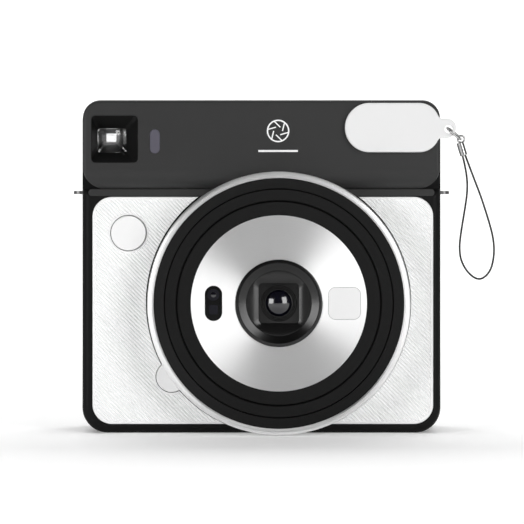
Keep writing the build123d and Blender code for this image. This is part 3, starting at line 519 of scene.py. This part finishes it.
def on_panels(x, z):
    if outline_distance(x, z) < 0 or math.hypot(x - LENS_X, z - LENS_Z) < RING_RADIUS + RING_GAP:
        return False
    return all(math.hypot(x - hx, z - hz) >= radius for hx, hz, radius in HOLES)


def panel_triangles():
    """The flat triangulation's points, and its triangles on the left and on the right panel."""
    points, edges = panel_lines()
    flat, _, triangles, _, _, _ = delaunay_2d_cdt([Vector(p) for p in points], edges, [], 0, CUT_TOLERANCE)
    flat = [(v.x, v.y) for v in flat]
    sides = {"left_front_panel": [], "right_front_panel": []}
    for triangle in triangles:
        x = sum(flat[i][0] for i in triangle) / 3
        z = sum(flat[i][1] for i in triangle) / 3
        if on_panels(x, z):
            sides["left_front_panel" if x < LENS_X else "right_front_panel"].append(tuple(triangle))
    return flat, sides


def ribbed_panels():
    """Both panels, each closed by a flat back and by walls along its open edges."""
    flat, sides = panel_triangles()
    for node, faces in sides.items():
        low, high = box_mm(node)
        used = sorted({i for face in faces for i in face})
        order = {old: new for new, old in enumerate(used)}
        builder = Builder()
        count = len(used)
        builder.vertices = [(flat[i][0], low[1] + rib_relief(*flat[i]), flat[i][1]) for i in used]
        builder.vertices += [(flat[i][0], high[1], flat[i][1]) for i in used]
        front = [tuple(order[i] for i in face) for face in faces]
        builder.faces = list(front) + [tuple(count + i for i in reversed(face)) for face in front]
        half_edges = {(face[i], face[(i + 1) % 3]) for face in front for i in range(3)}
        builder.faces += [(b, a, count + a, count + b) for a, b in half_edges if (b, a) not in half_edges]
        piece = builder.piece(node + "_ribbed", "camera_body", "white_panel")
        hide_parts(node)


# ---------------------------------------------------------------- lens, its surround and the sensor window

TURN_STEPS = 192
DOME_STEPS = 24
BEZEL_SEAT = -26.4
# how far in from the bezel's rim, and how far behind its front
RIM_EASE = ((0.0, 0.2), (0.06, 0.06), (0.2, 0.0))
# radius, and depth behind the front
CONE = ((14.1, 0.0), (14.0, 0.05), (11.55, 1.05), (11.5, 1.15))
# half width and corner radius of the square baffle, and its depths
BAFFLE_MOUTH, BAFFLE_THROAT = (8.75, 2.6), (7.1, 1.4)
LIP_DEPTH, BAFFLE_DEPTH = 1.85, 3.1
# stepped rings about the lens, each a little higher than the one outside it
RING_RADII = (6.6, 6.1, 5.6, 5.1)
FIRST_RISE, RISE_STEP, RING_EASE, RING_WIDTH = 0.12, 0.1, 0.1, 0.25
RING_FOOT = (0.3, 0.15)
LENS_GAP, LENS_RECESS = 0.08, 0.3
BEZEL_BACK_RADIUS = 12.4
GLASS_RIM = -24.4
DOME_TIP = 0.02


def corner_reach(half, corner, angle):
    """The distance from the middle of a rounded square to its edge, in one direction."""
    c, s = abs(math.cos(angle)), abs(math.sin(angle))
    straight = half / max(c, s)
    if min(c, s) * straight <= half - corner:
        return straight
    d = half - corner
    along = d * (c + s)
    return along + math.sqrt(along * along - 2 * d * d + corner * corner)


def round_loop(radius, y):
    return circle((LENS_X, LENS_Z), radius, y, TURN_STEPS)


def square_loop(size, y):
    loop = []
    for i in range(TURN_STEPS):
        angle = 2 * math.pi * i / TURN_STEPS
        reach = corner_reach(*size, angle)
        loop.append((LENS_X + reach * math.cos(angle), y, LENS_Z + reach * math.sin(angle)))
    return loop


def bezel_rings(floor):
    loops = []
    for step, ring in enumerate(RING_RADII):
        top = floor - (FIRST_RISE + RISE_STEP * step)
        loops += [round_loop(ring, top + RING_EASE), round_loop(ring, top),
                  round_loop(ring - RING_WIDTH, top), round_loop(ring - RING_FOOT[0], top + RING_FOOT[1])]
    return loops


def lens_surround():
    """The bezel: a flat rim, a cone, a square baffle with a sloped lip, and stepped rings about the lens."""
    low, high = box_mm("lens_bezel")
    front, back = low[1], high[1]
    radius = (high[0] - low[0]) / 2
    lens_low, lens_high = box_mm("front_lens")
    hole = (lens_high[0] - lens_low[0]) / 2 + LENS_GAP
    floor = front + BAFFLE_DEPTH
    loops = [round_loop(radius, BEZEL_SEAT)]
    loops += [round_loop(radius - inward, front + depth) for inward, depth in RIM_EASE]
    loops += [round_loop(r, front + depth) for r, depth in CONE]
    loops += [square_loop(BAFFLE_MOUTH, front + CONE[-1][1]), square_loop(BAFFLE_THROAT, front + LIP_DEPTH),
              square_loop(BAFFLE_THROAT, floor)]
    loops += bezel_rings(floor)
    loops += [round_loop(hole, floor - LENS_RECESS), round_loop(hole, back),
              round_loop(BEZEL_BACK_RADIUS, back), round_loop(BEZEL_BACK_RADIUS, BEZEL_SEAT)]
    builder = Builder()
    builder.loft(loops + [loops[0]], close_ends=False)
    piece = builder.piece("lens_surround", "inner_barrel", "bezel_black", smooth_angle=25)
    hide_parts("lens_bezel")


def dome_profile(radius, crown, edge):
    """Points of (radius, y) from the crown of a dome to its rim."""
    height = edge - crown
    curve = (radius * radius + height * height) / (2 * height)
    reach = math.asin(radius / curve)
    angles = [reach * i / DOME_STEPS for i in range(DOME_STEPS + 1)]
    return [(curve * math.sin(angle), crown + curve * (1 - math.cos(angle))) for angle in angles]


def dome_piece(name, centre, radius, crown, edge, back, body, slot):
    """A domed front from its crown to its edge, on a straight rim as far as its back."""
    count = TURN_STEPS // 2
    loops = [circle(centre, max(r, DOME_TIP), y, count) for r, y in dome_profile(radius, crown, edge)]
    loops.append(circle(centre, radius, back, count))
    builder = Builder()
    builder.loft(loops)
    return builder.piece(name, body, slot, smooth_angle=40)


def front_glass():
    low, high = box_mm("front_lens")
    radius = (high[0] - low[0]) / 2
    piece = dome_piece("front_glass", (LENS_X, LENS_Z), radius, low[1], GLASS_RIM, high[1],
                       "inner_barrel", "lens_glass")
    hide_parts("front_lens")


# the sensor window's small lens and diode: places up from its top or bottom, and heights about its face
SENSOR_LENS_DROP, SENSOR_LENS_RADIUS = 3.1, 1.0
SENSOR_RING_INNER, SENSOR_RING_OUTER, SENSOR_RING_FOOT = 1.15, 1.95, 2.1
SENSOR_RING_STAND, SENSOR_SUNK = 0.12, 0.1
SENSOR_LENS_STAND, SENSOR_LENS_EDGE = 0.1, 0.02
DIODE_RISE, DIODE_STAND = 3.9, 0.06
DIODE_HALF_WIDTH, DIODE_HALF_HEIGHT, DIODE_CORNER = 1.5, 1.6, 0.5


def sensor_details():
    """A ring and a small lens at the upper end of the oval window, and a square sensor below them."""
    low, high = box_mm("sensor_window")
    centre = ((low[0] + high[0]) / 2, high[2] - SENSOR_LENS_DROP)
    face = low[1]
    ring = Builder()
    profile = [(SENSOR_RING_INNER, face - SENSOR_RING_STAND), (SENSOR_RING_OUTER, face - SENSOR_RING_STAND),
               (SENSOR_RING_FOOT, face + SENSOR_SUNK), (SENSOR_LENS_RADIUS, face + SENSOR_SUNK)]
    turned(ring, centre, profile, count=64)
    ring.piece("sensor_lens_ring", "inner_barrel", "sensor_trim", smooth_angle=30)
    dome_piece("sensor_lens", centre, SENSOR_LENS_RADIUS, face - SENSOR_LENS_STAND, face + SENSOR_LENS_EDGE,
               face + SENSOR_SUNK, "inner_barrel", "lens_glass")
    diode = Builder()
    x, z = centre[0], low[2] + DIODE_RISE
    diode_low = (x - DIODE_HALF_WIDTH, z - DIODE_HALF_HEIGHT)
    diode_high = (x + DIODE_HALF_WIDTH, z + DIODE_HALF_HEIGHT)
    diode.loft([rounded_rectangle(diode_low, diode_high, DIODE_CORNER, face - DIODE_STAND),
                rounded_rectangle(diode_low, diode_high, DIODE_CORNER, face + SENSOR_SUNK)])
    diode.piece("sensor_diode", "inner_barrel", "sensor_trim", smooth_angle=30)


MIRROR_CORNER = 2.6
SEAM_OUTER, SEAM_INNER = 0.16, -0.02
SEAM_STAND, SEAM_DEPTH = 0.015, 0.2
SEAM_STEPS = 12


def mirror_seam():
    """The thin shadow line round the mirror, as a narrow frame set in the plate."""
    low, high = box_mm("selfie_mirror")
    top, foot = PLATE_FRONT - SEAM_STAND, PLATE_FRONT + SEAM_DEPTH
    loops = []
    for grow, y in ((SEAM_INNER, top), (SEAM_OUTER, top), (SEAM_OUTER, foot), (SEAM_INNER, foot)):
        seam_low, seam_high = (low[0] - grow, low[2] - grow), (high[0] + grow, high[2] + grow)
        loops.append(rounded_rectangle(seam_low, seam_high, MIRROR_CORNER + grow, y, SEAM_STEPS))
    builder = Builder()
    builder.loft(loops + [loops[0]], close_ends=False)
    builder.piece("mirror_seam", "inner_barrel", "seam_grey", smooth_angle=30)


# ---------------------------------------------------------------- marks and finish

def bar_piece(builder, start, end, width, y, thickness):
    """A flat bar from one point to another on a face that looks to the front."""
    direction = Vector((end[0] - start[0], end[1] - start[1])).normalized()
    side = Vector((-direction.y, direction.x)) * (width / 2)
    corners = [(start[0] - side.x, start[1] - side.y), (end[0] - side.x, end[1] - side.y),
               (end[0] + side.x, end[1] + side.y), (start[0] + side.x, start[1] + side.y)]
    builder.loft([[(x, y - thickness, z) for x, z in corners], [(x, y, z) for x, z in corners]])


MARK_CENTRE = (5.9, 107.4)
MARK_RADIUS = 4.0
MARK_RING_WIDTH = 0.5
MARK_SUNK, MARK_STAND, BLADE_STAND = 0.01, 0.06, 0.05
BLADES = 6
BLADE_TURN = 52
BLADE_INNER, BLADE_OUTER, BLADE_WIDTH = 1.55, 3.7, 0.42
MARK_LINE_HALF, MARK_LINE_HEIGHT, MARK_LINE_WIDTH = 7.0, 100.3, 0.7


def from_mark(radius, degrees):
    angle = math.radians(degrees)
    return (MARK_CENTRE[0] + radius * math.cos(angle), MARK_CENTRE[1] + radius * math.sin(angle))


def hood_mark():
    """A plain aperture drawing with a line under it."""
    face = hood_low[1] + MARK_SUNK
    inner = MARK_RADIUS - MARK_RING_WIDTH
    builder = Builder()
    turned(builder, MARK_CENTRE, [(inner, face), (inner, face - MARK_STAND), (MARK_RADIUS, face - MARK_STAND),
                                  (MARK_RADIUS, face)], count=96)
    for blade in range(BLADES):
        turn = 360 // BLADES * blade
        start, end = from_mark(BLADE_INNER, turn), from_mark(BLADE_OUTER, turn + BLADE_TURN)
        bar_piece(builder, start, end, BLADE_WIDTH, face, BLADE_STAND)
    bar_piece(builder, (MARK_CENTRE[0] - MARK_LINE_HALF, MARK_LINE_HEIGHT),
              (MARK_CENTRE[0] + MARK_LINE_HALF, MARK_LINE_HEIGHT), MARK_LINE_WIDTH, face, MARK_STAND)
    builder.piece("hood_mark", "camera_body", "mark_white", smooth_angle=30)


# the painted highlight strip on the casing under the hood: its corner, its gaps and how far it stands
BAND_CORNER = 1.1
BAND_SIDE_GAP, BAND_LOW_GAP, BAND_HIGH_GAP = 1.6, 0.3, 0.1
BAND_STAND, BAND_SUNK = 0.04, 0.01


def painted_light_band():
    """The strip of the casing between the hood and the panels, in the hood's lighter grey: a painted
    highlight where this upward-facing strip catches the light.
    """
    face = box_mm("front_shell")[0][1]
    low = (hood_low[0] + BAND_SIDE_GAP, panel_high[2] + BAND_LOW_GAP)
    high = (hood_high[0] - BAND_SIDE_GAP, hood_low[2] - BAND_HIGH_GAP)
    builder = Builder()
    # painted highlight: a thin lighter plate laid over the dark casing where it faces up and catches the
    # light
    builder.loft([rounded_rectangle(low, high, BAND_CORNER, face - BAND_STAND),
                  rounded_rectangle(low, high, BAND_CORNER, face + BAND_SUNK)])
    builder.piece("painted_light_band", "camera_body", "hood_grey", smooth_angle=30)


SIGN_LIFT, SIGN_SUNK = 0.08, 0.02
SIGN_RING = (1.0, 1.3)
STROKE_WIDTH = 0.35
# each sign's strokes, end to end, about the middle of its button; a sign without strokes is a ring
SIGN_STROKES = {
    "mode_button": (),
    "timer_button": (((0, -1.1), (0, 1.1)), ((-0.9, 1.1), (0.9, 1.1)), ((-0.9, -1.1), (0.9, -1.1))),
    "flash_button": (((-0.5, 1.3), (0.3, -0.05)), ((-0.3, 0.05), (0.5, -1.3))),
}


def back_marks():
    """Plain raised signs on the three back buttons: a ring, a capped bar and a small bolt of two strokes."""
    inner, outer = SIGN_RING
    for node, strokes in SIGN_STROKES.items():
        low, high = box_mm(node)
        x, z, face = (low[0] + high[0]) / 2, (low[2] + high[2]) / 2, high[1]
        foot, top = face - SIGN_SUNK, face + SIGN_LIFT
        builder = Builder()
        if not strokes:
            turned(builder, (x, z), [(inner, foot), (outer, foot), (outer, top), (inner, top)], count=48)
        for start, end in strokes:
            bar_piece(builder, (x + start[0], z + start[1]), (x + end[0], z + end[1]), STROKE_WIDTH,
                      top, SIGN_LIFT + SIGN_SUNK)
        builder.piece(node + "_sign", node, "mark_white", smooth_angle=30)


# ---------------------------------------------------------------- the filter's strap

CORD_DIAMETER = 0.0007
# the cord's route, as listed: x and z in millimetres, from the crimp round the loop and back
CORD_POINTS = (
    (71.14, 98.46), (72.5, 93.0), (72.9, 86.5), (71.9, 79.5), (70.6, 72.0), (69.9, 66.0), (70.6, 61.0),
    (73.6, 56.4), (77.4, 54.4), (81.0, 57.6), (82.3, 63.2), (82.1, 69.0), (80.4, 75.5), (77.6, 84.2),
    (74.6, 91.9), (72.06, 98.74),
)


def strap_cord():
    """The strap's loop as one smooth line through the places that its route gives."""
    depth = sum(c[1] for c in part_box("filter_strap_cord")) / 2
    curve = bpy.data.curves.new("strap_cord_line", "CURVE")
    curve.dimensions = "3D"
    spline = curve.splines.new("NURBS")
    spline.points.add(len(CORD_POINTS) - 1)
    for point, (x, z) in zip(spline.points, CORD_POINTS):
        point.co = (x * MM, depth, z * MM, 1)
    spline.order_u = 3
    spline.use_endpoint_u = True
    spline.resolution_u = 12
    curve.bevel_depth = CORD_DIAMETER / 2
    curve.bevel_resolution = 4
    curve.use_fill_caps = True
    cord = bpy.data.objects.new("strap_cord", curve)
    bpy.context.scene.collection.objects.link(cord)
    curve.materials.append(materials["cord_black"])
    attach(cord, "filter_strap")
    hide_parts("filter_strap_cord")


# ---------------------------------------------------------------- putting it together

bpy.context.scene.view_settings.view_transform = "Standard"
make_camera()
materials = slot_materials()
strap_cord()
make_world()
make_lights()
make_floor()
paint_cad_nodes()
ribbed_panels()
lens_surround()
front_glass()
sensor_details()
mirror_seam()
painted_light_band()
hood_mark()
back_marks()
